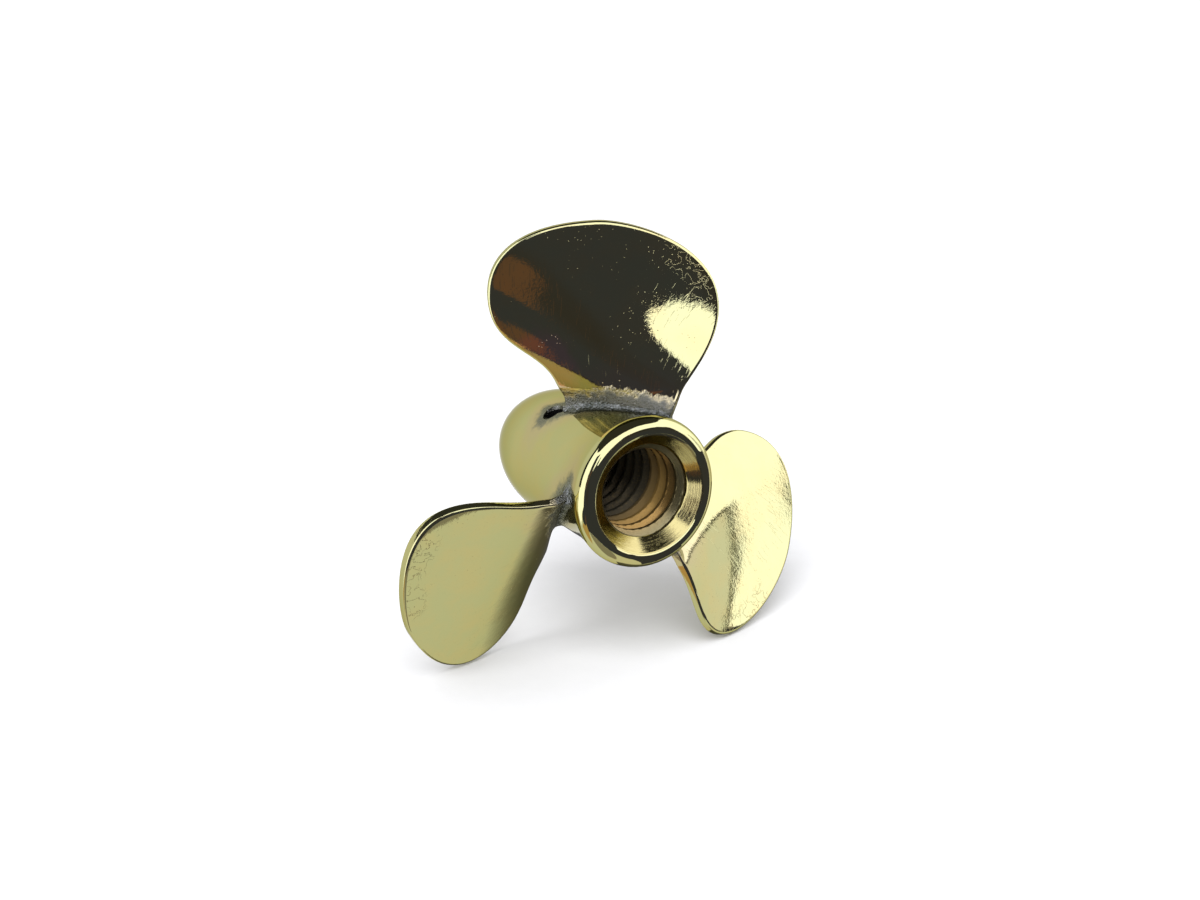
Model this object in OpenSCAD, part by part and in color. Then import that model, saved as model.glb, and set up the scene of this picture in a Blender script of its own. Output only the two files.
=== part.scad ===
// Three-bladed propeller for a model boat: a turned hub with a threaded blind bore,
// three twisted sheet blades let into skewed slots, and a solder fillet round each root.
// Millimetres. The shaft axis is Y, the mouth of the bore faces -Y and the nose +Y.
// The origin is the middle of the mouth plane. Blade 1 points along +Z.

/* [Node] */
// which sub-part to draw

/* [Hub] */
// overall length from the mouth plane to the end of the nose
hub_length = 13.4; // [10:0.1:20]
// largest radius, just behind the rounded rim of the mouth
rim_radius = 3.74; // [3:0.02:6]
// rounding of the outer edge of the mouth
rim_round = 0.72; // [0.2:0.02:1.2]
// radius where the flare behind the mouth has died away
waist_radius = 3.38; // [2.8:0.02:5]
// distance from the mouth plane to that waist
waist_station = 3.6; // [2:0.1:5]
// radius where the bullet nose begins
shoulder_radius = 3.28; // [2.6:0.02:5]
// distance from the mouth plane to the start of the nose
nose_start = 8; // [6:0.1:12]
// fullness of the nose: 2 is an ellipse, less is more pointed
nose_power = 1.85; // [1.4:0.05:2.6]

/* [Bore] */
// crest radius of the internal thread, the wall that a shaft meets
bore_radius = 2.067; // [1.2:0.001:3]
// depth of the threaded bore from the mouth plane
bore_depth = 10; // [6:0.1:12]
// outer radius of the countersink at the mouth
countersink_radius = 2.94; // [2.2:0.02:3.4]
// included angle of the drilled bottom
drill_angle = 118; // [90:1:140]

/* [Blades] */
// diameter swept by the blade tips
prop_diameter = 25; // [20:0.5:32]
// thickness of the sheet
blade_thickness = 0.5; // [0.3:0.05:1]
// advance in one turn of the helix that the blades follow
helix_pitch = 26.9; // [18:0.1:36]
// half width of the blade on the edge nearer the mouth
mouth_side_width = 5.49; // [3.5:0.01:7]
// half width of the blade on the edge nearer the nose
nose_side_width = 5.59; // [3.5:0.01:7]
// radius at which the blade is widest
widest_radius = 8.6; // [7:0.1:10]
// lean of the blade toward the nose for each millimetre of radius
rake = 0.194; // [0:0.001:0.4]
// bow of the blade across its width, as height over width squared
camber = 0.0235; // [0:0.0005:0.05]
// bow of the blade along its radius, as height over radius squared
bow = 0.0187; // [0:0.0005:0.04]
// how far the sheet departs from that even curve; 1 is the part as made, 0 a plain curve
unevenness = 1; // [0:0.05:1.5]
// extra twist in degrees for each millimetre from the middle radius
twist_slope = -0.862; // [-2:0.001:1]
// change of that extra twist
twist_bend = -0.115; // [-0.3:0.001:0.2]

/* [Roots] */
// skew of the straight slot to the plane of the mouth
slot_angle = 54; // [40:1:65]
// radius of the flat floor of the slot
slot_floor = 2.72; // [2.6:0.01:3]
// room between the sheet and each wall of the slot
slot_gap = 0.03; // [0.01:0.01:0.1]
// width of the flat blade foot on the mouth side
foot_mouth = 2.24; // [1.5:0.02:3]
// width of the flat blade foot on the nose side
foot_nose = 3.6; // [2:0.02:4.2]
// length of open slot left beyond the foot on the nose side
slot_open = 1; // [0.2:0.05:1.5]
// how far the solder spreads from the sheet over the hub
solder_spread = 0.45; // [0.2:0.05:0.9]
// how far the solder stands above the hub
solder_height = 0.35; // [0.15:0.05:0.6]

/* [Hidden] */
$fn = 96;
brass = [0.80, 0.72, 0.36];
solder_grey = [0.42, 0.44, 0.42];
tip_radius = prop_diameter / 2;
mid_radius = 9.7;
lead = helix_pitch / (2 * PI);
chord_shift = -0.115;
blade_station = 3.816;
foot_normal = 0.79;
foot_station = blade_station + rake * (3.3 - mid_radius);
foot_flat = 3;
foot_blend = 1.5;
rows_outer = 18;
rows_inner = 16;
rows_foot = 3;
columns = 12;
nose_steps = 22;
flare_steps = 6;

function mix(a, b, s) = a + (b - a) * s;
function smooth(s) = s <= 0 ? 0 : s >= 1 ? 1 : s * s * (3 - 2 * s);

// point on a cubic curve with four control points
function cubic(p, s) =
    p[0] * pow(1 - s, 3) + p[1] * 3 * s * pow(1 - s, 2)
    + p[2] * 3 * s * s * (1 - s) + p[3] * pow(s, 3);

// flat outline of the blade, as [across, radius], on the mouth side
mouth_outer = [[0, tip_radius], [1.8, tip_radius],
               [mouth_side_width, widest_radius + 2.46], [mouth_side_width, widest_radius]];
mouth_inner = [[mouth_side_width, widest_radius], [mouth_side_width, widest_radius - 2.3],
               [2.89, 4.84], [foot_mouth, 3.15]];

// and on the nose side
nose_outer = [[0, tip_radius], [-3.6, tip_radius],
              [-nose_side_width, widest_radius + 2.5], [-nose_side_width, widest_radius]];
nose_inner = [[-nose_side_width, widest_radius], [-nose_side_width, widest_radius - 2.9],
              [-2.35, 6.42], [0.25 - foot_nose, 3.38]];

rows = rows_outer + rows_inner + rows_foot;

function edge_point(outer, inner, foot, i) =
    i <= rows_outer ? cubic(outer, i / rows_outer)
    : i <= rows_outer + rows_inner ? cubic(inner, (i - rows_outer) / rows_inner)
    : mix(inner[3], [foot, slot_floor + 0.01], (i - rows_outer - rows_inner) / rows_foot);

// one point of the sheet: c across, r radius, t through the thickness
function share(r) = smooth((r - foot_flat) / foot_blend);
function law_angle(r) =
    -atan2(lead, r) + twist_slope * (r - mid_radius) + twist_bend * pow(r - mid_radius, 2);
function sheet_angle(r) = mix(-slot_angle, law_angle(r), share(r));
// slow unevenness of the hand-formed sheet, x across and y along the radius
function lift(x, y) =
    0.102 - 0.074 * y - 0.155 * y * y - 0.008 * pow(y, 3)
    - 0.071 * x + 0.059 * x * y + 0.014 * x * y * y
    - 0.104 * x * x - 0.059 * x * x * y + 0.107 * pow(x, 3);
function sheet_normal(c, r) =
    mix(foot_normal, bow * pow(r - mid_radius, 2) + camber * c * c, share(r))
    + unevenness * smooth((r - 3.2) / 3.2) * lift(c / 5, (r - mid_radius) / 3);
function sheet_station(r) = mix(foot_station, blade_station + rake * (r - mid_radius), share(r));
function sheet_point(c, r, t) =
    let (a = sheet_angle(r), n = sheet_normal(c, r) + t, k = c + chord_shift)
    [k * cos(a) - n * sin(a), k * sin(a) + n * cos(a) + sheet_station(r), r];

function sheet_row(i, t) =
    let (m = edge_point(mouth_outer, mouth_inner, foot_mouth, i),
         n = edge_point(nose_outer, nose_inner, -foot_nose, i))
    [for (j = [0 : columns]) let (q = mix(m, n, j / columns)) sheet_point(q[0], q[1], t)];

// closed sheet between two rows of the outline; row 0 is the single point of the tip
module sheet(first, last) {
    start = max(first, 1);
    wide = columns + 1;
    count = last - start + 1;
    front = [for (i = [start : last]) each sheet_row(i, 0)];
    back = [for (i = [start : last]) each sheet_row(i, blade_thickness)];
    tip = [sheet_point(0, tip_radius, 0), sheet_point(0, tip_radius, blade_thickness)];
    pts = concat(front, back, tip);
    off = count * wide;
    tf = 2 * off;
    tb = tf + 1;
    faces = concat(
        [for (i = [0 : count - 2], j = [0 : columns - 1])
            each let (a = i * wide + j, b = a + 1, c = a + wide, d = c + 1)
            [[a, c, b], [b, c, d], [a + off, b + off, c + off], [b + off, d + off, c + off]]],
        [for (i = [0 : count - 2])
            each let (a = i * wide, c = a + wide, b = a + columns, d = c + columns)
            [[a, a + off, c], [c, a + off, c + off], [b, d, b + off], [d, d + off, b + off]]],
        [for (j = [0 : columns - 1])
            each let (a = (count - 1) * wide + j)
            [[a, a + off, a + 1], [a + 1, a + off, a + 1 + off]]],
        first > 0
        ? [for (j = [0 : columns - 1])
            each [[j, j + 1, j + off], [j + 1, j + 1 + off, j + off]]]
        : concat([for (j = [0 : columns - 1])
                    each [[tf, j, j + 1], [tb, j + 1 + off, j + off]]],
                 [[tf, tb, 0], [tb, off, 0],
                  [tf, columns, tb], [tb, columns, columns + off]]));
    polyhedron(points = pts, faces = faces, convexity = 6);
}

// half section of the hub without its bore, as [radius, distance]; grow adds to the surface
function hub_section(grow) = concat(
    [[0, -grow]],
    [for (a = [0 : 15 : 90])
        [rim_radius - rim_round + (rim_round + grow) * sin(a),
         rim_round - (rim_round + grow) * cos(a)]],
    [for (i = [1 : flare_steps])
        let (s = i / flare_steps)
        [mix(waist_radius, rim_radius, pow(1 - s, 2)) + grow,
         mix(rim_round, waist_station, s)]],
    [for (i = [0 : nose_steps - 1])
        let (s = sin(90 * i / nose_steps))
        [(shoulder_radius + grow) * pow(1 - pow(s, nose_power), 1 / nose_power),
         nose_start + (hub_length + grow - nose_start) * s]],
    [[0, hub_length + grow]]);

module hub_solid(grow) {
    rotate([-90, 0, 0])
    rotate_extrude()
    polygon(hub_section(grow));
}

module bore_solid() {
    cone = bore_radius / tan(drill_angle / 2);
    flare = countersink_radius - bore_radius;
    rotate([-90, 0, 0])
    rotate_extrude()
    polygon([[0, -1], [countersink_radius + 1, -1], [countersink_radius, 0],
             [bore_radius, flare], [bore_radius, bore_depth], [0, bore_depth + cone]]);
}

// places children drawn as [across, normal, radius] in the plane of one blade foot
module in_foot(k) {
    rotate([0, 120 * k, 0])
    translate([0, foot_station, 0])
    rotate([0, 0, -slot_angle])
    children();
}

module slot_solid(k) {
    in_foot(k)
    translate([chord_shift - foot_nose - slot_open, foot_normal - slot_gap, slot_floor])
    cube([foot_nose + slot_open + foot_mouth + 0.3, blade_thickness + 2 * slot_gap, 4]);
}

// the stretch of slot past the blade foot, which the solder leaves open
module open_end(k) {
    in_foot(k)
    translate([chord_shift - foot_nose - 2, foot_normal - slot_gap, 1])
    cube([1.95, blade_thickness + 2 * slot_gap, 4]);
}

// upright block with round ends that bounds the solder
module solder_block(k) {
    half = blade_thickness / 2 + solder_spread;
    in_foot(k)
    translate([chord_shift, foot_normal + blade_thickness / 2, 1])
    linear_extrude(height = 4) {
        translate([-foot_nose - 0.1, -half])
        square([foot_nose + foot_mouth - 0.3, 2 * half]);
        translate([-foot_nose - 0.1, 0])
        circle(r = half);
        translate([foot_mouth - 0.4, 0])
        circle(r = half);
    }
}

module blade(k) {
    color(brass)
    rotate([0, 120 * k, 0])
    sheet(0, rows);
}

module solder(k) {
    color(solder_grey)
    difference() {
        intersection() {
            hub_solid(solder_height);
            solder_block(k);
        }
        hub_solid(0);
        open_end(k);
        rotate([0, 120 * k, 0])
        sheet(rows_outer + 6, rows);
    }
}

module hub() {
    color(brass)
    difference() {
        hub_solid(0);
        bore_solid();
        slot_solid(0);
        slot_solid(1);
        slot_solid(2);
    }
}

module blade_1() {
    blade(0);
}

module blade_2() {
    blade(1);
}

module blade_3() {
    blade(2);
}

module solder_joint_1() {
    solder(0);
}

module solder_joint_2() {
    solder(1);
}

module solder_joint_3() {
    solder(2);
}

hub();
blade_1();
blade_2();
blade_3();
solder_joint_1();
solder_joint_2();
solder_joint_3();
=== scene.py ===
import math
import bmesh
import bpy
import numpy as np
from mathutils import Matrix, Vector


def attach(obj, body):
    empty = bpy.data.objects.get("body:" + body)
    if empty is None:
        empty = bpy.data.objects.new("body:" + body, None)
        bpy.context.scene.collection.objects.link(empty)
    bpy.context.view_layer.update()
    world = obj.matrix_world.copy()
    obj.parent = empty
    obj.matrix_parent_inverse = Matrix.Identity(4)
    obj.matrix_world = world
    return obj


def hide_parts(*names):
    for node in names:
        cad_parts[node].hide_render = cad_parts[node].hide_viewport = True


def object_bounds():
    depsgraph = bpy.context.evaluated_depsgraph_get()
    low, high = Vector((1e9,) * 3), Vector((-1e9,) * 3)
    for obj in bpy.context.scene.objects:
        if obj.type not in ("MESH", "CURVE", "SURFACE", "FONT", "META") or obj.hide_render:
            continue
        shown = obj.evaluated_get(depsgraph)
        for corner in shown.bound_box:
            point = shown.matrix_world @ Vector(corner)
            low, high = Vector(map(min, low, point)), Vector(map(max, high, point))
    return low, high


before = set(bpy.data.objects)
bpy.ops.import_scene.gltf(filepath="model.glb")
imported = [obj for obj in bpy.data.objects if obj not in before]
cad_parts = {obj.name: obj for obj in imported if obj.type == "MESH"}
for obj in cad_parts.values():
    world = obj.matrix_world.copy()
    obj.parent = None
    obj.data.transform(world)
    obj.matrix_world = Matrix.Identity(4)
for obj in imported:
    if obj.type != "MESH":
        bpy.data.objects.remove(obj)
cad_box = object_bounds()
MM = 0.001

# ---------------------------------------------------------------- camera
# The camera stands to the left of the mouth and slightly above it.
azimuth, elevation, roll = math.radians(-28.22), math.radians(16.84), math.radians(-2.0)
eye = Vector((-44.533, -78.066, 29.518)) * MM
back = Vector((math.sin(azimuth) * math.cos(elevation),
               -math.cos(azimuth) * math.cos(elevation), math.sin(elevation)))
side = Vector((0, 0, 1)).cross(back).normalized()
up = back.cross(side)
right = side * math.cos(roll) + up * math.sin(roll)
lift = up * math.cos(roll) - side * math.sin(roll)
cam_data = bpy.data.cameras.new("camera")
cam_data.lens = 59.83
cam_data.sensor_width = 36.0
cam_data.clip_start = 0.001
cam_data.clip_end = 20
cam = bpy.data.objects.new("camera", cam_data)
bpy.context.scene.collection.objects.link(cam)
cam.matrix_world = Matrix(((right.x, lift.x, back.x, eye.x),
                           (right.y, lift.y, back.y, eye.y),
                           (right.z, lift.z, back.z, eye.z),
                           (0, 0, 0, 1)))
bpy.context.scene.camera = cam
bpy.context.scene.view_settings.view_transform = "Standard"
bpy.context.scene.view_settings.look = "None"

# ---------------------------------------------------------------- shapes, in millimetres
TIP, THICK, MID = 12.5, 0.5, 9.7        # blade tip radius, sheet thickness, middle radius
LEAD = 26.9 / (2 * math.pi)             # advance of the blade for each radian of turn
STATION, RAKE = 3.816, 0.194            # blade's place along the axis, and its lean
BOW_UP, BOW_ACROSS = 0.0187, 0.0235     # bow along the radius and across the width
FOOT_NORMAL, FOOT_STATION = 0.79, STATION + RAKE * (3.3 - MID)
WIDEST = 8.6                            # radius where the blade is widest
SHIFT, FLOOR, SLOT_ANGLE = -0.115, 2.72, 54.0   # foot's offset, slot's floor and skew
FOOT_MOUTH, FOOT_NOSE = 2.24, 3.6       # the foot's reach to either side

RIM, RIM_TUBE = 3.74, 0.72              # radius of the rim, and of its rounding
RIM_MIDDLE = 3.02
NECK, NECK_END = 3.38, 3.6              # radius behind the rim, and where its flare ends
BODY, NOSE_START, NOSE, LENGTH = 3.28, 8.0, 5.4, 13.4
NOSE_POWER = 1.85                       # 2 would make the nose an ellipse
CREST, PITCH, THREAD_DEEP = 2.067, 0.8, 0.433
BORE_DEPTH, POINT_HALF_ANGLE = 10.0, 59


def ease(s):
    """Smooth step from 0 to 1."""
    s = np.clip(s, 0, 1)
    return s * s * (3 - 2 * s)


def wave(x, y, seed):
    """Smooth repeatable unevenness between about -1 and 1."""
    rng = np.random.RandomState(seed)
    out = 0
    for k in range(7):
        a, f, p = rng.uniform(0, 6.283), rng.uniform(0.45, 1.5), rng.uniform(0, 6.283)
        out = out + np.sin(f * (x * math.cos(a) + y * math.sin(a)) + p) / 3.0
    return out


def sheet(c, r, t, seed=0):
    """A point of the blade sheet: c across, r radius, t through the thickness."""
    c, r, t = np.broadcast_arrays(np.float64(c), np.float64(r), np.float64(t))
    w = ease((r - 3.0) / 1.5)
    law = -np.degrees(np.arctan2(LEAD, r)) - 0.862 * (r - MID) - 0.115 * (r - MID) ** 2
    a = np.radians(-SLOT_ANGLE + (law + SLOT_ANGLE) * w)
    bow = BOW_UP * (r - MID) ** 2 + BOW_ACROSS * c * c
    n = FOOT_NORMAL + (bow - FOOT_NORMAL) * w + t
    x, y = c / 5, (r - MID) / 3
    lift = (0.102 - 0.074 * y - 0.155 * y ** 2 - 0.008 * y ** 3 - 0.071 * x + 0.059 * x * y
            + 0.014 * x * y ** 2 - 0.104 * x ** 2 - 0.059 * x ** 2 * y + 0.107 * x ** 3)
    n = n + lift * ease((r - 3.2) / 3.2)
    if seed:
        n = n + 0.0035 * wave(c, r, seed) * ease((r - 4.0) / 2.0)
    s = FOOT_STATION + (STATION + RAKE * (r - MID) - FOOT_STATION) * w
    k = c + SHIFT
    return np.stack([k * np.cos(a) - n * np.sin(a), k * np.sin(a) + n * np.cos(a) + s, r], -1)


def cubic(p, s):
    """Points at the parameters s of a cubic curve with four control points p."""
    s = np.asarray(s)[:, None]
    p = np.array(p, float)
    return (p[0] * (1 - s) ** 3 + p[1] * 3 * s * (1 - s) ** 2
            + p[2] * 3 * s * s * (1 - s) + p[3] * s ** 3)


def edge(sign, count):
    """One side of the flat outline from the tip to the foot, as (across, radius)."""
    if sign > 0:
        a = [(0, TIP), (1.8, TIP), (5.49, 11.06), (5.49, WIDEST)]
        b = [(5.49, WIDEST), (5.49, 6.3), (2.89, 4.84), (FOOT_MOUTH, 3.15)]
        foot = (FOOT_MOUTH, FLOOR + 0.01)
    else:
        a = [(0, TIP), (-3.6, TIP), (-5.59, 11.1), (-5.59, WIDEST)]
        b = [(-5.59, WIDEST), (-5.59, 5.7), (-2.35, 6.42), (-3.35, 3.38)]
        foot = (-FOOT_NOSE, FLOOR + 0.01)
    s = np.linspace(0, 1, count)
    tail = np.linspace(b[3], foot, 8)[1:]
    return np.vstack([cubic(a, s), cubic(b, s)[1:], tail])


def turn(points, k):
    """Turns points about the shaft axis by k thirds of a turn."""
    a = 2 * math.pi * k / 3
    x, z = points[..., 0], points[..., 2]
    return np.stack([x * math.cos(a) + z * math.sin(a), points[..., 1],
                     z * math.cos(a) - x * math.sin(a)], -1)


def hub_radius(y):
    """Outer radius of the hub at distance y behind the mouth plane."""
    y = np.asarray(y, float)
    s = np.clip((y - RIM_TUBE) / (NECK_END - RIM_TUBE), 0, 1)
    r = NECK + (RIM - NECK) * (1 - s) ** 2
    r = np.where(y > NECK_END, NECK + (BODY - NECK) * (y - NECK_END) / (NOSE_START - NECK_END), r)
    q = np.clip((y - NOSE_START) / NOSE, 0, 1)
    r = np.where(y > NOSE_START, BODY * (1 - q ** NOSE_POWER) ** (1 / NOSE_POWER), r)
    rim = RIM_MIDDLE + np.sqrt(np.maximum(RIM_TUBE ** 2 - (RIM_TUBE - y) ** 2, 0))
    return np.where(y < RIM_TUBE, rim, r)


def make(name, verts, faces, angle):
    """An object from millimetre points; edges sharper than the angle stay sharp."""
    mesh = bpy.data.meshes.new(name)
    mesh.from_pydata((np.asarray(verts) * MM).tolist(), [], faces)
    mesh.validate()
    bm = bmesh.new()
    bm.from_mesh(mesh)
    bmesh.ops.recalc_face_normals(bm, faces=bm.faces)
    bm.to_mesh(mesh)
    bm.free()
    mesh.shade_smooth()
    if angle:
        mesh.set_sharp_from_angle(angle=math.radians(angle))
    obj = bpy.data.objects.new(name, mesh)
    bpy.context.scene.collection.objects.link(obj)
    return obj


def grid_faces(rows, cols, wrap=False, base=0):
    """Quads over rows x cols points numbered from base; wrap closes each row."""
    out = []
    for i in range(rows - 1):
        for j in range(cols if wrap else cols - 1):
            a, b = base + i * cols + j, base + i * cols + (j + 1) % cols
            out.append((a, b, b + cols, a + cols))
    return out


# ---------------------------------------------------------------- blades
# spots on the sheets: blade, across, radius, size; the first list is a painted reflection, a
# coppery spot on the upper blade standing in for a brown thing reflected there, the second marks
# worn places
BROWN_REFLECTION_SPOTS = [(0, -3.4, 5.7, 1.6)]
WORN = [(0, 4.2, 10.4, 1.3), (0, 5.0, 8.9, 1.0), (1, 4.4, 9.6, 1.4), (1, 3.2, 10.6, 1.1),
        (2, 4.3, 10.4, 1.5), (2, 2.0, 11.7, 1.2)]


def blade_mesh(k):
    """One blade sheet with rounded edges, and a few values for each of its points."""
    seed = 11 + k
    nose_side, mouth_side = edge(-1, 44), edge(1, 44)
    rows, cols, bevel, bevel_deep = len(nose_side), 56, 0.15, 0.11
    # one closed loop of the outline: tip first, down the mouth side, back up the nose side
    foot = np.linspace(mouth_side[-1], nose_side[-1], cols)[1:-1]
    loop = np.vstack([mouth_side, foot, nose_side[::-1][:-1]])
    ahead, behind = np.roll(loop, -1, 0), np.roll(loop, 1, 0)
    tan = ahead - behind
    tan /= np.linalg.norm(tan, axis=1)[:, None]
    inward = np.stack([tan[:, 1], -tan[:, 0]], 1)
    centre = np.array([0, 8.0])
    flip = np.sign(((centre - loop) * inward).sum(1))
    inward *= np.where(np.abs(flip) > 0, flip, 1)[:, None]
    inset = loop + inward * bevel
    ri = inset[:rows]
    li = np.vstack([inset[:1], inset[rows + len(foot):][::-1]])
    s = np.linspace(0, 1, cols)[None, :, None]
    field = ri[1:, None] * (1 - s) + li[1:, None] * s
    verts, faces, borders = [], [], []
    for t in (0.0, THICK):
        base = len(verts)
        verts.extend(sheet(field[..., 0], field[..., 1], t, seed).reshape(-1, 3))
        tip = len(verts)
        verts.append(sheet(inset[0, 0], inset[0, 1], t, seed))
        faces += grid_faces(rows - 1, cols, base=base)
        faces += [(tip, base + j, base + j + 1) for j in range(cols - 1)]
        border = [tip] + [base + i * cols for i in range(rows - 1)]
        border += [base + (rows - 2) * cols + j for j in range(1, cols - 1)]
        border += [base + i * cols + cols - 1 for i in range(rows - 2, -1, -1)]
        borders.append(border)
    # the edge: rings of the loop, each an inset and a place through the thickness
    steps = []
    for q in range(10, 91, 10):
        q = math.radians(q)
        steps.append((bevel * (1 - math.sin(q)), bevel_deep * (1 - math.cos(q))))
    rings = [borders[0]]
    levels = steps + [(0, THICK / 2)] + [(o, THICK - t) for o, t in steps[::-1]]
    for o, t in levels:
        q = loop + inward * o
        base = len(verts)
        verts.extend(sheet(q[:, 0], q[:, 1], t, seed))
        rings.append(list(range(base, base + len(q))))
    rings.append(borders[1])
    n = len(loop)
    for a, b in zip(rings, rings[1:]):
        faces += [(a[i], a[(i + 1) % n], b[(i + 1) % n], b[i]) for i in range(n)]
    flat_points = field.reshape(-1, 2)
    # distance of each point of the face from the outline, without the foot
    free = np.vstack([loop[:rows], loop[rows + len(foot):]])
    gap = np.sqrt(((flat_points[:, None] - free[None]) ** 2).sum(-1).min(1))
    edge_gap = np.zeros(len(verts))
    edge_gap[:len(gap)] = gap
    edge_gap[len(gap) + 1:2 * len(gap) + 1] = gap
    worn, painted_reflection = np.zeros(len(verts)), np.zeros(len(verts))
    for mask, places in ((worn, WORN), (painted_reflection, BROWN_REFLECTION_SPOTS)):
        for blade, c, r, reach in places:
            if blade == k:
                spot = np.exp(-(((flat_points - (c, r)) / reach) ** 2).sum(1))
                mask[:len(gap)] = np.maximum(mask[:len(gap)], spot)
    across = np.concatenate([np.append(flat_points[:, 0], 0)] * 2
                            + [(loop + inward * o)[:, 0] for o, _ in levels])
    values = {"edge_gap": edge_gap, "across": across, "worn": worn, "painted_reflection": painted_reflection}
    return turn(np.array(verts), k), faces, values


blades = []
for k in range(3):
    v, f, values = blade_mesh(k)
    obj = make(f"blade_sheet_{k + 1}", v, f, 50)
    for key, val in values.items():
        obj.data.attributes.new(key, "FLOAT", "POINT").data.foreach_set("value", val)
    blades.append(obj)

# ---------------------------------------------------------------- hub
TURNS = 256
theta = np.linspace(0, 2 * math.pi, TURNS, endpoint=False)


def ring(r, y):
    """A circle of points about the shaft axis."""
    r = np.broadcast_to(r, theta.shape)
    y = np.broadcast_to(y, theta.shape)
    return np.stack([r * np.sin(theta), y, r * np.cos(theta)], -1)


# the countersink is the cone where radius and station add up to CONE; between it and the flat
# face runs a narrow broken edge, given as pairs of slope in degrees and length
CONE = 2.97
LIP = [(8, 0.012), (17, 0.012), (25, 0.015), (30, 0.10), (34, 0.02), (39, 0.012), (43, 0.01)]
LIP_IN = [sum(w * math.cos(math.radians(a)) for a, w in LIP[:i]) for i in range(len(LIP) + 1)]
LIP_DEEP = [sum(w * math.sin(math.radians(a)) for a, w in LIP[:i]) for i in range(len(LIP) + 1)]
CONE_START = LIP_DEEP[-1]
LIP_RADIUS = CONE - CONE_START + LIP_IN[-1]


def hub_shell():
    """Outside of the hub, with a flat cap where the bore will open."""
    prof = [(LIP_RADIUS - a, b) for a, b in zip(LIP_IN[::-1], LIP_DEEP[::-1])]
    for a in range(4, 91, 4):
        a = math.radians(a)
        prof.append((RIM_MIDDLE + RIM_TUBE * math.sin(a), RIM_TUBE - RIM_TUBE * math.cos(a)))
    for y in np.linspace(0.8, NOSE_START, 46):
        prof.append((float(hub_radius(y)), y))
    for a in np.linspace(0, math.pi / 2, 44)[1:-1]:
        y = NOSE_START + NOSE * math.sin(a)
        prof.append((float(hub_radius(y)), y))
    verts = np.concatenate([ring(r, y) for r, y in prof] + [[[0, LENGTH, 0]]])
    rows = len(prof)
    faces = grid_faces(rows, TURNS, wrap=True)
    last = (rows - 1) * TURNS
    faces += [(last + j, last + (j + 1) % TURNS, rows * TURNS) for j in range(TURNS)]
    faces.append(tuple(range(TURNS)))
    return verts, faces


def bore_shell():
    """Countersink, threaded bore and drill point."""
    y = np.concatenate([np.arange(CONE_START, 4.6, 0.025), np.linspace(4.61, BORE_DEPTH, 90)])
    yy = np.repeat(y[:, None], TURNS, 1)
    # distance along the axis from the nearest crest of the helix
    s = (yy - 0.62 - PITCH * (theta[None] + 2.6) / (2 * math.pi)) / PITCH
    s = np.abs(s - np.round(s)) * PITCH
    depth = np.clip((s - 0.1) / 0.25, 0, 1) * THREAD_DEEP
    # the cut runs out before the drill point and is shallow at its start
    depth = depth * ease((9.4 - yy) / 1.2)
    depth = np.minimum(depth, 0.28 + 0.153 * ease((yy - 0.75) / 0.5))
    # the wider of thread and countersink, with the corner between them eased
    a, b = CREST + depth, CONE - yy
    soft = 0.035 * ease(yy / 0.2) * ease((1.4 - yy) / 0.3)
    r = (a + b + np.sqrt((a - b) ** 2 + soft ** 2)) / 2
    x = np.stack([r * np.sin(theta), yy, r * np.cos(theta)], -1)
    verts = x.reshape(-1, 3)
    point = CREST / math.tan(math.radians(POINT_HALF_ANGLE))
    verts = np.concatenate([verts, ring(1.2, BORE_DEPTH + point * (1 - 1.2 / CREST)),
                            [[0, BORE_DEPTH + point, 0]]])
    rows = len(y) + 1
    faces = grid_faces(rows, TURNS, wrap=True)
    last = (rows - 1) * TURNS
    faces += [(last + j, last + (j + 1) % TURNS, rows * TURNS) for j in range(TURNS)]
    return verts, faces


def foot_matrix(k):
    """Takes (across, normal, radius) of one blade foot to the part's frame."""
    a = 2 * math.pi * k / 3
    return (Matrix.Rotation(a, 4, "Y") @ Matrix.Translation((0, FOOT_STATION, 0))
            @ Matrix.Rotation(-math.radians(SLOT_ANGLE), 4, "Z"))


v, f = hub_shell()
hub = make("hub_turned", v, f, 0)
cuts = []
slot_gap, cut_top, arc = 0.03, FLOOR + 4, 20
for k in range(3):
    # the slot itself
    lo = (SHIFT - FOOT_NOSE - 1.0, FOOT_NORMAL - slot_gap, FLOOR)
    hi = (SHIFT + 2.54, FOOT_NORMAL + THICK + slot_gap, cut_top)
    corners = [foot_matrix(k) @ Vector((x, y, z)) for x in (lo[0], hi[0])
               for y in (lo[1], hi[1]) for z in (lo[2], hi[2])]
    quads = [(0, 1, 3, 2), (4, 6, 7, 5), (0, 4, 5, 1), (2, 3, 7, 6), (0, 2, 6, 4), (1, 5, 7, 3)]
    # the wider round pocket at its nose end
    pocket = []
    for j in range(arc):
        a = 2 * math.pi * j / arc
        for z in (FLOOR - 0.2, cut_top):
            spot = (SHIFT - 4.12 + 0.52 * math.cos(a),
                    FOOT_NORMAL + THICK / 2 + 0.46 * math.sin(a), z)
            pocket.append(foot_matrix(k) @ Vector(spot))
    count = 2 * arc
    sides = [(2 * j, (2 * j + 2) % count, (2 * j + 3) % count, 2 * j + 1) for j in range(arc)]
    caps = [tuple(range(0, count, 2))[::-1], tuple(range(1, count, 2))]
    for cut in (make(f"slot_{k + 1}", [tuple(q) for q in corners], quads, 0),
                make(f"slot_end_{k + 1}", [tuple(q) for q in pocket], sides + caps, 0)):
        mod = hub.modifiers.new(cut.name, "BOOLEAN")
        mod.operation, mod.solver, mod.object = "DIFFERENCE", "EXACT", cut
        cuts.append(cut)
bpy.context.view_layer.update()
depsgraph = bpy.context.evaluated_depsgraph_get()
cut_mesh = bpy.data.meshes.new_from_object(hub.evaluated_get(depsgraph))
hub.modifiers.clear()
for cut in cuts:
    bpy.data.objects.remove(cut)
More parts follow.
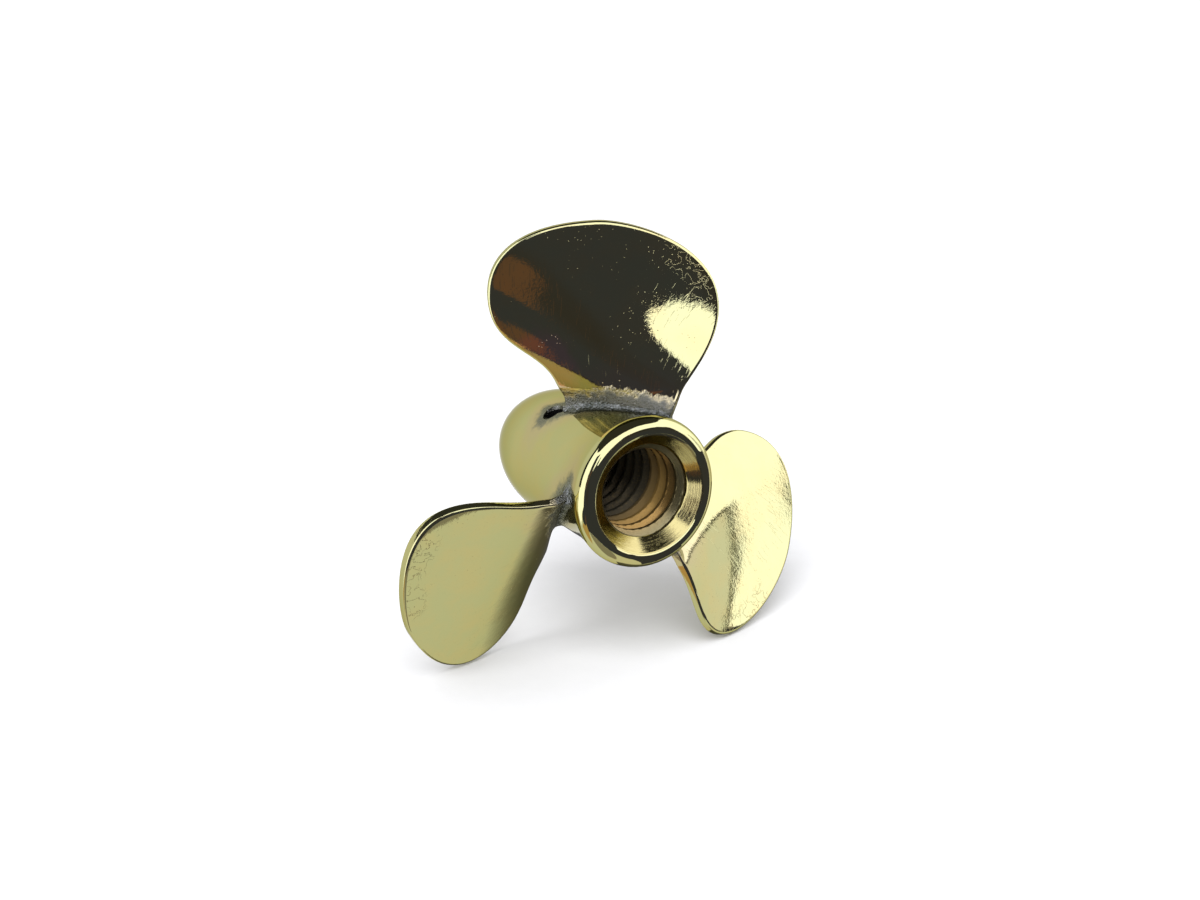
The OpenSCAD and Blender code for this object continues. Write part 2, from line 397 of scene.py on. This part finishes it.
# the cap over the mouth is taken out, and the bore joined on there
bm = bmesh.new()
bm.from_mesh(cut_mesh)
plug = [q for q in bm.faces if len(q.verts) > 20
        and all(abs(w.co.y - CONE_START * MM) < 2e-6 for w in q.verts)]
bmesh.ops.delete(bm, geom=plug, context="FACES_ONLY")
v, f = bore_shell()
made = [bm.verts.new(tuple(np.array(q) * MM)) for q in v]
for q in f:
    bm.faces.new([made[i] for i in q])
bmesh.ops.remove_doubles(bm, verts=bm.verts, dist=1e-7)
bmesh.ops.recalc_face_normals(bm, faces=bm.faces)
mesh = bpy.data.meshes.new("hub_turned")
bm.to_mesh(mesh)
bm.free()
mesh.shade_smooth()
mesh.set_sharp_from_angle(angle=math.radians(38))
hub.data = mesh


# ---------------------------------------------------------------- solder fillets
def surface_level(c, t):
    """Radius at which the sheet's offset line meets the hub, for points across the foot."""
    r = np.full(np.broadcast(c, t).shape, 3.1)
    for _ in range(25):
        p = sheet(c, r, t)
        want = hub_radius(p[..., 1])
        have = np.hypot(p[..., 0], p[..., 2])
        r = r + (want - have) * 0.8
    return r


def solder_mesh(k):
    """A closed ring of solder round one blade root, with a concave uneven section."""
    rng = np.random.RandomState(40 + k)
    c0, c1 = -3.42, 2.2
    # the line round the root: across, through the thickness, and the direction outward
    around = []
    for c in np.linspace(c0, c1, 60):
        around.append((c, 0.0, 0.0, -1.0))
    for a in np.linspace(-90, 90, 13)[1:-1]:
        a = math.radians(a)
        around.append((c1, THICK / 2 * (1 + math.sin(a)), math.cos(a), math.sin(a)))
    for c in np.linspace(c1, c0, 60):
        around.append((c, THICK, 0.0, 1.0))
    for a in np.linspace(90, -90, 13)[1:-1]:
        a = math.radians(a)
        around.append((c0, THICK / 2 * (1 + math.sin(a)), -math.cos(a), math.sin(a)))
    around = np.array(around)
    n = len(around)
    pos = np.linspace(0, 2 * math.pi, n, endpoint=False)

    def rough(scale, terms, lo, hi):
        out = np.zeros(n)
        for m in range(lo, hi):
            out += np.sin(m * pos + rng.uniform(0, 6.283)) * rng.uniform(0.3, 1) / math.sqrt(m)
        return scale * out / math.sqrt(terms)

    width = 0.27 + rough(0.10, 4, 2, 12) + rough(0.06, 4, 12, 34)
    height = 0.34 + rough(0.12, 4, 2, 9) + rough(0.07, 4, 9, 30)
    nose_end = ease((around[:, 0] - (c0 + 0.1)) / 0.6)
    width = np.clip(width, 0.10, 0.50) * (0.15 + 0.85 * nose_end)
    height = np.clip(height, 0.10, 0.6) * (0.5 + 0.5 * nose_end)
    if k == 2:
        # a lump at the mouth-side corner
        lump = np.exp(-((around[:, 0] - 1.9) / 0.35) ** 2) * (around[:, 1] < 0.1)
        height, width = height + 0.35 * lump, width + 0.10 * lump
    steps = 12
    verts = []
    for j in range(steps + 1):
        s = j / steps
        # concave section from the hub (s = 0) up to the blade (s = 1)
        d = width * (1 - s) ** 1.7
        z = height * s ** 1.7
        if j == 0:
            z = z - 0.03
        bump = 0.02 * (np.sin(pos * 37 + 5 * s + k) + np.sin(pos * 61 - 7 * s))
        bump = bump * math.sin(math.pi * s)
        c = around[:, 0] + around[:, 2] * (d + bump)
        t = around[:, 1] + around[:, 3] * (d + bump)
        base = surface_level(c, t)
        verts.append(sheet(c, base + z, t))
    # back down inside the blade, then under the hub's surface to where it began
    c = np.clip(around[:, 0] - around[:, 2] * 0.05, c0, c1)
    t = around[:, 1] - around[:, 3] * 0.05
    base = surface_level(c, t)
    verts.append(sheet(c, base + height * 0.98, t))
    verts.append(sheet(c, base - 0.15, t))
    c = around[:, 0] + around[:, 2] * width * 0.8
    t = around[:, 1] + around[:, 3] * width * 0.8
    verts.append(sheet(c, surface_level(c, t) - 0.15, t))
    rows = len(verts)
    verts = np.concatenate(verts)
    faces = grid_faces(rows, n, wrap=True)
    last = (rows - 1) * n
    faces += [(last + j, last + (j + 1) % n, (j + 1) % n, j) for j in range(n)]
    return turn(verts, k), faces


solders = []
for k in range(3):
    v, f = solder_mesh(k)
    solders.append(make(f"solder_fillet_{k + 1}", v, f, 60))


# ---------------------------------------------------------------- materials
class Graph:
    """Short calls for building a node tree."""

    def __init__(self, name):
        self.mat = bpy.data.materials.new(name)
        self.mat.use_nodes = True
        self.t = self.mat.node_tree
        self.t.nodes.clear()

    def n(self, kind, ins=None, **props):
        node = self.t.nodes.new(kind)
        for key, val in props.items():
            setattr(node, key, val)
        for key, val in (ins or {}).items():
            self.put(node.inputs[key], val)
        return node

    def put(self, sock, val):
        if isinstance(val, bpy.types.NodeSocket):
            self.t.links.new(val, sock)
        elif val is not None:
            sock.default_value = val

    def m(self, op, a, b=None):
        node = self.n("ShaderNodeMath", operation=op)
        for i, val in enumerate((a, b)):
            self.put(node.inputs[i], val)
        return node.outputs[0]

    def span(self, val, a, b, lo=0.0, hi=1.0):
        """Goes smoothly from lo to hi while val goes from a to b."""
        node = self.n("ShaderNodeMapRange", interpolation_type="SMOOTHSTEP")
        for i, q in enumerate((val, a, b, lo, hi)):
            self.put(node.inputs[i], q)
        return node.outputs[0]

    def mix(self, f, a, b):
        node = self.n("ShaderNodeMix", data_type="RGBA")
        self.put(node.inputs[0], f)
        self.put(node.inputs[6], a)
        self.put(node.inputs[7], b)
        return node.outputs[2]

    def noise(self, vec, scale, detail=3.0, rough=0.5, warp=0.0):
        node = self.n("ShaderNodeTexNoise", {"Vector": vec, "Scale": scale, "Detail": detail,
                                             "Roughness": rough, "Distortion": warp})
        return node.outputs[0]

    def place(self, vec, loc=(0, 0, 0), rot=(0, 0, 0), scale=(1, 1, 1)):
        return self.n("ShaderNodeMapping", {"Vector": vec, "Location": loc, "Rotation": rot,
                                            "Scale": scale}).outputs[0]

    def split(self, vec):
        return self.n("ShaderNodeSeparateXYZ", {0: vec}).outputs

    def value(self, name):
        """One of the values stored on the mesh's points."""
        return self.n("ShaderNodeAttribute", attribute_name=name).outputs["Fac"]

    def bump(self, height, strength, dist, normal=None):
        return self.n("ShaderNodeBump", {"Strength": strength, "Distance": dist,
                                         "Height": height, "Normal": normal}).outputs[0]

    def finish(self, color, rough, metal, normal, tint=None):
        b = self.n("ShaderNodeBsdfPrincipled", {"Base Color": color, "Roughness": rough,
                                                "Metallic": metal, "Normal": normal,
                                                "Specular Tint": tint or EDGE_TINT})
        out = self.n("ShaderNodeOutputMaterial")
        self.t.links.new(b.outputs[0], out.inputs[0])
        return self.mat


EDGE_TINT = (0.62, 0.60, 0.45, 1)
BRASS = (0.46, 0.455, 0.205, 1)
BRASS_WARM = (0.50, 0.45, 0.19, 1)
BRASS_DARK = (0.36, 0.33, 0.14, 1)
TIN = (0.17, 0.18, 0.15, 1)
# colour of the painted reflection on the upper blade
PAINTED_REFLECTION_BROWN = (0.60, 0.43, 0.26, 1)
TINT = (0.50, 0.40, 0.24, 1)


def object_mm(g):
    """Object coordinates in millimetres."""
    tex = g.n("ShaderNodeTexCoord")
    return g.n("ShaderNodeVectorMath", {0: tex.outputs["Object"], 1: (1000, 1000, 1000)},
               operation="MULTIPLY").outputs[0]


def scratches(g, p, angle, seed, density):
    """Fine straight scratches in one direction, as a mask from 0 to 1."""
    q = g.place(p, (seed, seed * 0.7, 0), (angle * 0.4, angle, angle * 1.7), (0.55, 16, 0.55))
    a = g.noise(q, 1.0, 2.0, 0.6)
    return g.span(a, 1 - density, 1 - density + 0.06)


def brass_sheet():
    g = Graph("polished brass sheet")
    p = object_mm(g)
    x, _, z = g.split(p)
    radial = g.m("SQRT", g.m("ADD", g.m("MULTIPLY", x, x), g.m("MULTIPLY", z, z)))
    cloud = g.noise(p, 0.55, 5, 0.6)
    fine = g.noise(p, 7, 4, 0.6)
    edge_noise = g.noise(p, 1.6, 5, 0.65)
    shifted = g.m("ADD", radial, g.m("MULTIPLY", g.m("SUBTRACT", edge_noise, 0.5), 1.5))
    shifted = g.m("ADD", shifted, g.span(g.value("across"), 0.3, -2.0, 0.0, 0.2))
    tin = g.span(shifted, 4.65, 4.1)
    warm = g.m("MULTIPLY", g.span(shifted, 6.4, 4.4), 0.55)
    color = g.mix(g.span(cloud, 0.35, 0.7), BRASS, BRASS_WARM)
    color = g.mix(g.m("MULTIPLY", g.span(fine, 0.55, 0.8), 0.18), color, BRASS_DARK)
    color = g.mix(warm, color, TINT)
    uneven = g.m("MULTIPLY", g.m("SUBTRACT", edge_noise, 0.5), 0.6)
    # painted reflection: a coppery spot on the upper blade stands in for a brown thing reflected
    # there
    painted_reflection = g.span(g.m("ADD", g.value("painted_reflection"), uneven), 0.2, 0.6)
    color = g.mix(painted_reflection, color, PAINTED_REFLECTION_BROWN)
    color = g.mix(g.m("MULTIPLY", tin, 0.92), color, TIN)
    s1 = scratches(g, p, 0.5, 3.1, 0.36)
    s2 = scratches(g, p, 1.9, 8.7, 0.35)
    s3 = scratches(g, p, 2.8, 5.3, 0.33)
    scratch = g.m("MAXIMUM", s1, g.m("MAXIMUM", s2, s3))
    specks = g.n("ShaderNodeTexVoronoi", {"Vector": p, "Scale": 5.0}).outputs[0]
    specks = g.m("MULTIPLY", g.span(specks, 0.15, 0.06), g.span(cloud, 0.42, 0.6))
    # fine wrinkles near the edge of the sheet
    line = g.m("ABSOLUTE", g.m("SUBTRACT", g.noise(p, 1.7, 3, 0.55, 0.3), 0.5))
    where = g.m("MULTIPLY", g.span(g.value("edge_gap"), 1.5, 0.5),
                g.span(g.value("worn"), 0.3, 0.7))
    crease = g.m("MULTIPLY", g.span(line, 0.010, 0.003), where)
    color = g.mix(g.m("MULTIPLY", crease, 0.3), color, (0.30, 0.16, 0.07, 1))
    rough = g.m("ADD", 0.014, g.m("MULTIPLY", g.span(cloud, 0.3, 0.8), 0.016))
    rough = g.m("ADD", rough, g.m("MULTIPLY", scratch, 0.018))
    rough = g.m("ADD", rough, g.m("MULTIPLY", specks, 0.3))
    rough = g.m("ADD", rough, g.m("MULTIPLY", crease, 0.12))
    rough = g.m("ADD", rough, g.m("MULTIPLY", tin, g.m("ADD", 0.05, g.m("MULTIPLY", fine, 0.22))))
    n1 = g.bump(g.noise(p, 0.9, 3, 0.5), 1.0, 0.000007)
    n2 = g.bump(g.noise(p, 7.0, 3, 0.6), 1.0, 0.0000022, n1)
    n3 = g.bump(g.m("SUBTRACT", specks, g.m("MULTIPLY", scratch, 0.2)), 1.0, 0.000003, n2)
    n4 = g.bump(crease, 1.0, 0.000005, n3)
    n5 = g.bump(g.m("MULTIPLY", tin, g.noise(p, 10, 4, 0.7)), 1.0, 0.00006, n4)
    return g.finish(color, rough, 1.0, n5)


def near_slots(g, p):
    """Distance in millimetres from the nearest blade slot, measured over the hub."""
    best = None
    for k in range(3):
        q = g.place(p, rot=(0, -2 * math.pi * k / 3, 0))
        q = g.place(q, (0, -FOOT_STATION, 0))
        q = g.place(q, rot=(0, 0, math.radians(SLOT_ANGLE)))
        c, n, u = g.split(q)
        c = g.m("SUBTRACT", g.m("ABSOLUTE", g.m("ADD", c, 1.27)), 3.45)
        n = g.m("SUBTRACT", g.m("ABSOLUTE", g.m("SUBTRACT", n, 1.04)), 0.28)
        c, n = g.m("MAXIMUM", c, 0.0), g.m("MAXIMUM", n, 0.0)
        d = g.m("SQRT", g.m("ADD", g.m("MULTIPLY", c, c), g.m("MULTIPLY", n, n)))
        d = g.m("ADD", d, g.m("MULTIPLY", g.m("LESS_THAN", u, 0.5), 50.0))
        best = d if best is None else g.m("MINIMUM", best, d)
    return best


def brass_turned():
    g = Graph("polished turned brass")
    p = object_mm(g)
    x, y, z = g.split(p)
    radial = g.m("SQRT", g.m("ADD", g.m("MULTIPLY", x, x), g.m("MULTIPLY", z, z)))
    cloud = g.noise(p, 0.5, 4, 0.55)
    fine = g.noise(p, 8, 4, 0.6)
    # rings left by the lathe: noise read along the axis and the radius only
    lathe = g.n("ShaderNodeCombineXYZ", {0: y, 1: radial,
                                         2: g.m("MULTIPLY", cloud, 0.15)}).outputs[0]
    rings = g.noise(lathe, 22, 3, 0.7)
    rings2 = g.noise(lathe, 60, 2, 0.6)
    # masks for the countersink and the inside of the bore, in millimetres
    cone = g.m("MULTIPLY", g.m("LESS_THAN", radial, 2.95), g.m("LESS_THAN", y, 0.95))
    # the bore and its drill point, but not the nose around them
    bore_limit = g.m("MINIMUM", 2.53, g.m("MULTIPLY", g.m("SUBTRACT", 12.5, y), 1.05))
    inside = g.m("MULTIPLY", g.m("LESS_THAN", radial, bore_limit), g.m("GREATER_THAN", y, 0.72))
    uneven = g.m("MULTIPLY", g.m("SUBTRACT", g.noise(p, 2.0, 4, 0.6), 0.5), 0.7)
    d = g.m("ADD", near_slots(g, p), uneven)
    tin = g.m("MULTIPLY", g.span(d, 0.62, 0.22), g.m("GREATER_THAN", radial, 2.6))
    tin = g.m("MULTIPLY", tin, g.m("GREATER_THAN", y, 0.7))
    warm = g.m("MULTIPLY", g.span(d, 1.3, 0.5), g.m("MULTIPLY", g.m("GREATER_THAN", y, 0.8), 0.55))
    color = g.mix(g.span(cloud, 0.35, 0.7), BRASS, BRASS_WARM)
    color = g.mix(g.m("MULTIPLY", g.span(fine, 0.55, 0.8), 0.12), color, BRASS_DARK)
    color = g.mix(warm, color, TINT)
    # painted shade: the bore is painted darker than the outside, olive to orange brown near the
    # mouth and near black deep inside
    bore_painted_shade = g.mix(g.span(y, 0.9, 1.7), (0.18, 0.16, 0.075, 1), (0.25, 0.155, 0.045, 1))
    bore_painted_shade = g.mix(g.span(y, 2.4, 4.4), bore_painted_shade, (0.045, 0.042, 0.03, 1))
    bore_painted_shade = g.mix(g.m("MULTIPLY", g.span(fine, 0.5, 0.7), 0.4), bore_painted_shade, (0.12, 0.09, 0.035, 1))
    color = g.mix(g.m("MULTIPLY", cone, 0.8), color, (0.40, 0.34, 0.12, 1))
    color = g.mix(inside, color, bore_painted_shade)
    color = g.mix(g.m("MULTIPLY", tin, 0.9), color, TIN)
    # painted shade: the unfilled end of each slot is painted near black inside
    slot_end_painted_shade = g.m("MULTIPLY", g.m("LESS_THAN", radial, 3.13), g.m("GREATER_THAN", radial, 2.6))
    slot_end_painted_shade = g.m("MULTIPLY", slot_end_painted_shade, g.m("LESS_THAN", g.m("ABSOLUTE", g.m("SUBTRACT", y, 5.2)), 3.6))
    color = g.mix(slot_end_painted_shade, color, (0.012, 0.012, 0.010, 1))
    rough = g.m("ADD", 0.032, g.m("MULTIPLY", g.span(rings, 0.4, 0.8), 0.03))
    rough = g.m("ADD", rough, g.m("MULTIPLY", cone, 0.05))
    rough = g.m("ADD", rough, g.m("MULTIPLY", inside, 0.2))
    rough = g.m("ADD", rough, g.m("MULTIPLY", tin, g.m("ADD", 0.1, g.m("MULTIPLY", fine, 0.25))))
    rough = g.m("ADD", rough, g.m("MULTIPLY", slot_end_painted_shade, 0.5))
    deep = g.m("ADD", 0.08, g.m("ADD", g.m("MULTIPLY", cone, 0.55), g.m("MULTIPLY", inside, 0.4)))
    n1 = g.bump(g.noise(p, 0.9, 3, 0.5), 1.0, 0.0000025)
    n2 = g.bump(g.m("MULTIPLY", rings, deep), 1.0, 0.000006, n1)
    n3 = g.bump(g.m("MULTIPLY", rings2, deep), 1.0, 0.000003, n2)
    n4 = g.bump(g.m("MULTIPLY", tin, g.noise(p, 9, 4, 0.7)), 1.0, 0.00003, n3)
    # painted shade: inside the bore the edge tint is darker and the metal falls deeper in, so it
    # reflects less
    edge = g.mix(inside, EDGE_TINT, (0.20, 0.12, 0.02, 1))
    metal = g.m("SUBTRACT", 1.0, g.m("MULTIPLY", inside, g.span(y, 1.5, 3.6, 0.1, 0.85)))
    return g.finish(color, rough, metal, n4, edge)


def tin_solder():
    g = Graph("grey tin solder")
    p = object_mm(g)
    big = g.noise(p, 2.2, 4, 0.6)
    fine = g.noise(p, 12, 4, 0.7)
    glint = g.n("ShaderNodeTexVoronoi", {"Vector": p, "Scale": 7.0}, feature="F1").outputs[0]
    color = g.mix(g.span(big, 0.3, 0.7), (0.09, 0.10, 0.08, 1), (0.24, 0.25, 0.215, 1))
    color = g.mix(g.m("MULTIPLY", g.span(fine, 0.6, 0.75), 0.5), color, (0.42, 0.42, 0.32, 1))
    rough = g.m("ADD", 0.12, g.m("MULTIPLY", big, 0.2))
    n1 = g.bump(big, 1.0, 0.00012)
    n2 = g.bump(fine, 1.0, 0.000022, n1)
    n3 = g.bump(glint, 1.0, 0.00004, n2)
    return g.finish(color, rough, 0.95, n3)


sheet_mat, turned_mat, tin_mat = brass_sheet(), brass_turned(), tin_solder()
finishes = [(hub, turned_mat)]
finishes += [(blade, sheet_mat) for blade in blades] + [(joint, tin_mat) for joint in solders]
for obj, mat in finishes:
    obj.data.materials.clear()
    obj.data.materials.append(mat)

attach(hub, "root")
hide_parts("hub")
for k in range(3):
    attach(blades[k], "root")
    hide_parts(f"blade_{k + 1}")
    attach(solders[k], "root")
    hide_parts(f"solder_joint_{k + 1}")

# ---------------------------------------------------------------- studio
low = float(cad_box[0][2])
half = 3000.0
floor = make("floor", [(-half, -half, 0), (half, -half, 0), (half, half, 0), (-half, half, 0)],
             [(0, 1, 2, 3)], 0)
floor.location.z = low - 0.00002
g = Graph("pale floor")
p = object_mm(g)
grain = g.noise(p, 0.8, 4, 0.6)
paper = g.mix(grain, (0.565, 0.567, 0.585, 1), (0.595, 0.597, 0.615, 1))
floor.data.materials.append(g.finish(paper, 0.85, 0.0, g.bump(grain, 0.2, 0.0001)))
floor.visible_glossy = False

world = bpy.data.worlds.new("studio")
world.use_nodes = True
world.node_tree.nodes["Background"].inputs[0].default_value = (1, 1, 1, 1)
world.node_tree.nodes["Background"].inputs[1].default_value = 1.0
bpy.context.scene.world = world


def direction(az, el):
    """Unit vector at an azimuth, from -Y towards +X, and an elevation."""
    az, el = math.radians(az), math.radians(el)
    return np.array([math.sin(az) * math.cos(el), -math.cos(az) * math.cos(el), math.sin(el)])


def reflected(name, verts, faces, color, patches=None, glow=None):
    """A studio card that only reflections see; color is its radiance, glow scales it along
    the card, and patches is the scale and colour of soft spots."""
    obj = make(name, verts, faces, 0)
    g = Graph(name)
    shade = (*color, 1)
    if patches:
        scale, other = patches
        place = g.n("ShaderNodeTexCoord").outputs["Object"]
        ramp = g.n("ShaderNodeValToRGB", {0: g.noise(place, scale)})
        for stop, at, tone in zip(ramp.color_ramp.elements, (0.50, 0.64), (color, other)):
            stop.position, stop.color = at, (*tone, 1)
        shade = ramp.outputs[0]
    light = g.n("ShaderNodeEmission", {0: shade})
    if glow is not None:
        obj.data.attributes.new("glow", "FLOAT", "POINT").data.foreach_set("value", glow)
        g.put(light.inputs[1], g.value("glow"))
    g.n("ShaderNodeOutputMaterial", {0: light.outputs[0]})
    obj.data.materials.append(g.mat)
    obj.visible_camera = False
    obj.visible_diffuse = False
    obj.visible_shadow = False
    obj.visible_transmission = False
    obj.visible_volume_scatter = False


def band(name, rows, color, dist, patches=None, glow=None):
    """A curved card; rows are (azimuth, lowest, highest elevation) from left to right."""
    rows = np.array(rows, float)
    az = np.linspace(rows[0, 0], rows[-1, 0], int(rows[-1, 0] - rows[0, 0]) + 2)
    lo, hi = np.interp(az, rows[:, 0], rows[:, 1]), np.interp(az, rows[:, 0], rows[:, 2])
    verts = []
    for a, p, q in zip(az, lo, hi):
        verts += [CENTRE + direction(a, e) * dist for e in np.linspace(p, q, 6)]
    if glow:
        glow = np.repeat(np.interp(az, *zip(*glow)), 6)
    reflected(name, verts, grid_faces(len(az), 6), color, patches, glow)


def flat(name, corners, color):
    """A small flat card close to the part."""
    reflected(name, corners, [tuple(range(len(corners)))], color)


floor_mm = low / MM
CENTRE = np.array((0, 3, 6))
DARK = (0.062, 0.064, 0.105)
BLACK = (0.05, 0.05, 0.055)
BROWN = (0.19, 0.10, 0.085)
GOLD = (0.80, 0.52, 0.25)
WINDOW = (2.3, 2.3, 2.9)
FRAME = (0.08, 0.08, 0.06)
BOX, FAR, NEARER, NEAREST = 2700.0, 2500.0, 2300.0, 2250.0
# dark flags: what the upper blade, the rim and the bore look into
band("flag_front", [(-80, -36, -33), (-73, -44, -25), (-66, -44, -22), (-58, -46, -18),
                    (-54, -46, 40), (-38, -46, 38), (-37, -46, 15), (-30, -46, 19),
                    (-26, -46, 28), (-23, -46, 26), (-21, -46, 14), (-15, -46, 13),
                    (-11, -46, 15), (-5, -46, 17.5), (0, -46, 20), (4, -46, 22),
                    (10, -46, 27), (25, -46, 24), (52, -46, 22), (57, -46, -20),
                    (72, -44, -22), (74, -40, -24)], DARK, FAR, (0.45, (0.06, 0.05, 0.06)))
band("flag_top", [(-93, 54, 90), (-75, 48, 90), (-57, 47, 90), (-45, 53, 90), (-30, 57, 90),
                  (0, 57, 90), (30, 54, 90), (52, 47, 90), (96, 47, 90)], BLACK, FAR)
band("shade_front", [(-56, -82, -46.5), (8, -82, -46.5)], (0.42, 0.38, 0.38), FAR)
band("flag_back", [(92, 57, 90), (96, 44, 90), (116, 44, 90), (130, 43, 90), (144, 38, 90),
                   (150, 36, 90), (165, 40, 90), (180, 44, 90), (196, 50, 90), (210, 52, 90),
                   (240, 50, 90), (247, 46, 90), (249, 4, 90), (266, 4, 90), (267, 12, 90)],
     BLACK, FAR)
# paler shades and warm patches low down
band("shade_low", [(98, -82, -18), (160, -82, -18)], (1, 1, 1.05), FAR,
     glow=[(98, 0.95), (104, 0.62), (110, 0.34), (120, 0.18), (160, 0.12)])
band("haze", [(73, -30, 12.5), (76, -30, 10.5), (80, -30, 7.5), (84, -30, 3.5),
              (88, -30, -0.5), (94, -30, -3)], (1.32, 1.3, 1.5), FAR)
band("patch_low", [(-60, -38, -34), (-55, -36, -29), (-50, -31, -26)], BROWN, NEARER)
band("strip_low", [(-100, -64, -41), (-80, -60, -37), (-70, -55, -40), (-58, -47, -37)],
     GOLD, NEAREST)
# three small cards close by
flat("patch_left", [(-24.5, -16, 1), (-21.5, -16, 0.8), (-18.6, -16, 4.9), (-16.2, -16, 7.8),
                    (-16.4, -16, 9.4), (-18, -16, 9.4), (-20.5, -16, 7.8), (-23.5, -16, 4)], BROWN)
# painted shadow: a dark card lying on the floor in front of and below the hub stands for the
# floor's shadow there, as reflections see it
flat("painted_floor_shadow", [(1.8, -9, floor_mm), (8, -9, floor_mm), (8, 0.6, floor_mm),
                  (1.8, 0.6, floor_mm)], DARK)
flat("flag_side", [(12.5, -12, -9.3), (12.5, -1.1, -9.3), (12.5, -1.1, 1.6), (12.5, -12, 0)],
     DARK)
# soft boxes
band("box_front", [(-60, 40, 57), (-39, 38, 57), (-38, 10, 57), (57, 10, 57)], WINDOW, BOX)
band("box_left", [(-107, -40, -24), (-98, -36, -8), (-92, -34, 57), (-87, -34, 57),
                  (-76, -26, 57), (-66, -21, 57), (-58, -17, 57), (-54, 36, 57)], WINDOW, BOX)
band("box_right", [(56, -22, 57), (72, -22, 57), (73, 13, 57), (76, 11, 57), (80, 8, 57),
                   (84, 4, 57), (88, 0, 57), (95, -3, 57), (98, -3, 43), (110, -3, 43)],
     WINDOW, BOX)
# the frame round the right-hand soft box
band("frame_side", [(71.4, -22, 13.5), (72.9, -22, 13.5)], FRAME, 2600)
band("frame_low", [(72.6, 12, 14), (76, 10, 12), (80, 7, 9), (84, 3, 5), (88, -1, 1)],
     FRAME, 2600)

sun = bpy.data.lights.new("key", "SUN")
sun.energy, sun.angle = 4.4, math.radians(42)
key = bpy.data.objects.new("key", sun)
key.rotation_euler = Vector(direction(-36, 46)).to_track_quat("Z", "Y").to_euler()
key.visible_glossy = False
bpy.context.scene.collection.objects.link(key)
